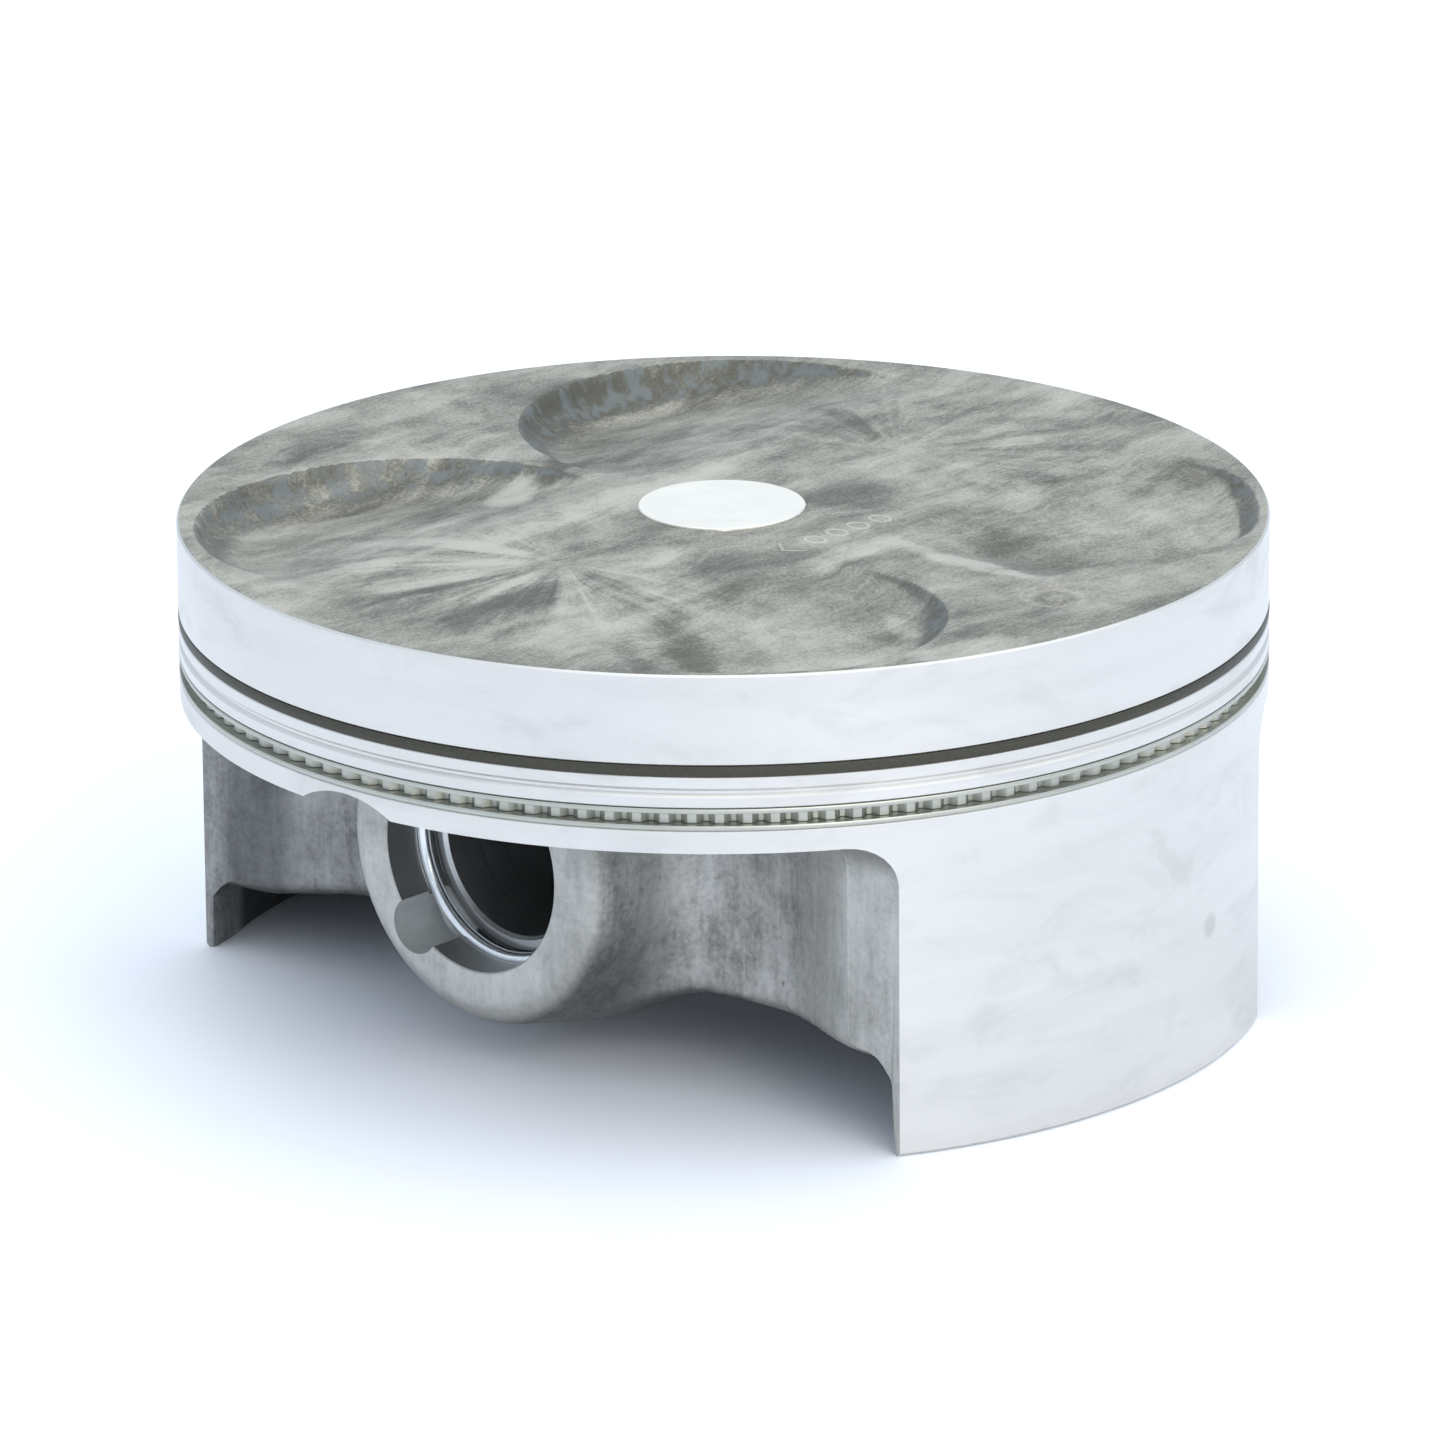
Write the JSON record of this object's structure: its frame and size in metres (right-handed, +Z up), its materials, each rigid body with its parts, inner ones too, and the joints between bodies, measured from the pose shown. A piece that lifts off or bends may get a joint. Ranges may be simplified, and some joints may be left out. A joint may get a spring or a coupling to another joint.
{
  "type": "motorcycle piston",
  "caption": "Forged slipper-skirt motorcycle piston with valve pockets, ring pack, hollow wrist pin and wire circlips.",
  "frame": {"origin": "on the cylinder axis, in the plane of the skirts' lower edge", "axes": "+Z up towards the crown, +X along the wrist pin towards its right-hand circlip, +Y towards the skirt on the side of the smaller pair of valve pockets"},
  "size_m": [0.096, 0.096, 0.0442],
  "materials": {
    "forged_aluminium": "forged grey crown, bosses and struts, bright turned lands and skirts",
    "phosphated_iron": "dark phosphate",
    "nitrided_rail": "dull nitrided steel",
    "spring_steel": "dull spring steel strip",
    "ground_steel": "smooth ground steel tube",
    "clip_steel": "bright drawn spring wire"
  },
  "bodies": {
    "piston": {"piston_body": "forged_aluminium", "circlip_left": "clip_steel", "circlip_right": "clip_steel"},
    "wrist_pin": {"wrist_pin": "ground_steel"},
    "compression_ring": {"compression_ring": "phosphated_iron"},
    "oil_rail_upper": {"oil_rail_upper": "nitrided_rail"},
    "oil_ring_expander": {"oil_ring_expander": "spring_steel"},
    "oil_rail_lower": {"oil_rail_lower": "nitrided_rail"}
  },
  "joints": [
    {"name": "wrist_pin_turn", "type": "hinge", "parent": "piston", "child": "wrist_pin", "pos_m": [0, 0, 0.01965], "axis": [1, 0, 0], "continuous": true},
    {"name": "compression_ring_turn", "type": "hinge", "parent": "piston", "child": "compression_ring", "pos_m": [0, 0, 0.0355], "axis": [0, 0, 1], "continuous": true},
    {"name": "oil_rail_upper_turn", "type": "hinge", "parent": "piston", "child": "oil_rail_upper", "pos_m": [0, 0, 0.0319], "axis": [0, 0, 1], "continuous": true},
    {"name": "oil_ring_expander_turn", "type": "hinge", "parent": "piston", "child": "oil_ring_expander", "pos_m": [0, 0, 0.0312], "axis": [0, 0, 1], "continuous": true},
    {"name": "oil_rail_lower_turn", "type": "hinge", "parent": "piston", "child": "oil_rail_lower", "pos_m": [0, 0, 0.0305], "axis": [0, 0, 1], "continuous": true}
  ]
}
